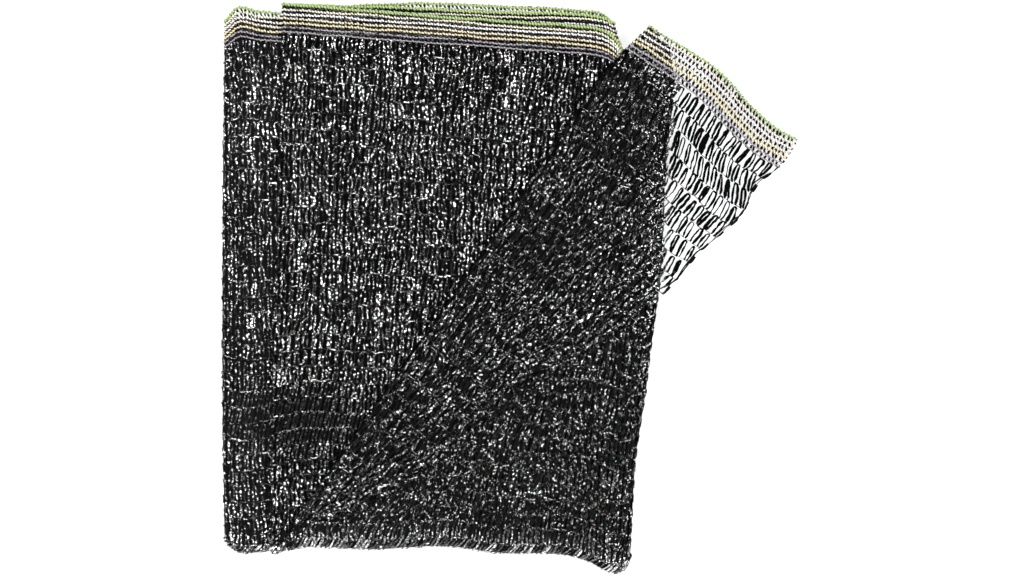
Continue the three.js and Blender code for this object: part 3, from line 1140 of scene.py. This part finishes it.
def add_chains(
    name, layer, v, radius, material, visible, sizes=1.0, depth=0.45, raised=0.4, rings=4, sides=6
):
    """Beaded chains along a layer's rows at each v.

    The chain's radius is multiplied by 1 + depth cos(stitch + around): stitch makes a full turn with each
    bead, and around is the angle round the section.
    """
    length = row_lengths(layer, v)
    counts = np.maximum(np.round((length + WRAP) / STITCH * rings), LEAST_RINGS).astype(int) + 1
    strand, index = count_along(counts)
    distance = index / (counts - 1)[strand] * (length + WRAP)[strand] - WRAP
    bead = index / rings + np.append(0, np.cumsum(counts))[strand]
    t = np.clip(distance / length[strand], 0, 1)
    wrap = np.clip(-distance, 0, WRAP)
    sway = CHAIN_SWAY * np.sin(np.pi * index / rings) + wander(bead / 6, 0.5)
    row = np.clip(v[strand] + sway / CLOTH_WIDTH, 0, LAST_V)
    lift = raised + wander(bead, 0.1)
    swell = np.broadcast_to(sizes, len(v))[strand] * (1 + wander(bead, 0.12))
    chain = (strand + 0.5) / len(v)

    plan = flat_layer(layer, t, row)
    keep = visible(SimpleNamespace(plan=plan, distance=distance, length=length[strand], v=row))
    strand, t, row, lift, wrap, swell, index, chain = drop_hidden(
        keep, strand, t, row, lift, wrap, swell, index, chain
    )
    path, up = path_and_up(layer, t, row, lift, wrap)
    around = 2 * np.pi * np.arange(sides) / sides
    stitch = 2 * np.pi * index / rings
    bead_wave = np.cos(stitch[:, None] + around)
    size = (radius * swell)[:, None] * (1 + depth * bead_wave)
    section = np.stack([size * np.cos(around), CHAIN_FLATNESS * size * np.sin(around)], axis=-1) * MM
    points, faces = sweep(path, up, strand, section)
    piece = add_piece(name, points, faces, material)
    set_values(piece, "chain", np.repeat(chain, sides))
    # The grooves between the beads are stored for the yarn's painted shade.
    set_values(piece, "painted_groove_shade", (0.5 - 0.5 * bead_wave).ravel())


add_chains(
    "flap_coloured_chains", FLAP, selvedge_v, COLOURED_RADIUS, yarn_material, everywhere,
    FLAP_SIZES, depth=0.5, raised=0.5,
)
add_loops("flap_edge_loops", FLAP, SELVEDGE, everywhere, FLAP_EDGE_LOOPS)
for layer in (TOP, UNDER, LEFT_STRIP):
    name = LAYER_NAMES[layer]
    add_chains(
        f"{name}_coloured_chains", layer, selvedge_v, STACK_RADIUS, yarn_material, everywhere,
        STACK_SIZES, raised=0.6,
    )
    add_loops(f"{name}_edge_loops", layer, SELVEDGE, everywhere, EDGE_LOOPS)
for layer in (BOTTOM, SECOND, THIRD):
    name = LAYER_NAMES[layer]
    add_chains(f"{name}_coloured_chains", layer, selvedge_v, COLOURED_RADIUS, yarn_material, near_outline)
add_chains("top_chains", TOP, wale_v[1:], 0.3, chain_material, not_under_flap, raised=0.05, **BLACK_CHAINS)
add_chains("flap_chains", FLAP, wale_v[1:], 0.35, chain_material, on_stack, **BLACK_CHAINS)

# %% [markdown]
# ## The cut end
# Where the cloth was cut, the ends of the tapes curl along the cut in a ragged dark line. A few strands
# wander along that line and part now and then.

# %% Strands along the cut end
CUT_STRANDS = 3
CUT_STEPS = 420
CUT_WAVE = 7
CUT_PARTS = -0.55
CUT_RIDGE = 0.35


def add_cut_strands():
    """Tapes along the free cut end of the hanging flap, which swing in and out of it by chance."""
    strand, index = count_along(np.full(CUT_STRANDS, CUT_STEPS))
    share = index / (CUT_STEPS - 1)
    place = index / CUT_WAVE + strand * CUT_STEPS
    v = selvedge_v[-1] + share * (1 - selvedge_v[-1])
    inwards = 0.8 + wander(place, 1.4) + wander(place / 4, 0.8)
    t = 1 - np.maximum(inwards, 0) / row_lengths(FLAP, v)
    lift = TAPE_LIFT + wander(place, 0.3)
    keep = (wander(place / 3, 1.0) > CUT_PARTS) & (slackness(flat_layer(FLAP, t, v)) < ON_STACK)
    girth = 0.85 + wander(place, 0.55)
    angle = wander(place, 0.5)
    strand, t, v, lift, girth, angle = drop_hidden(keep, strand, t, v, lift, girth, angle)
    path, up = path_and_up(FLAP, t, v, lift)
    points, faces = sweep(path, up, strand, tape_section(girth, CUT_RIDGE + 0 * girth, angle))
    add_piece("cut_end_strands", points, faces, chain_material, smooth=False)


add_cut_strands()
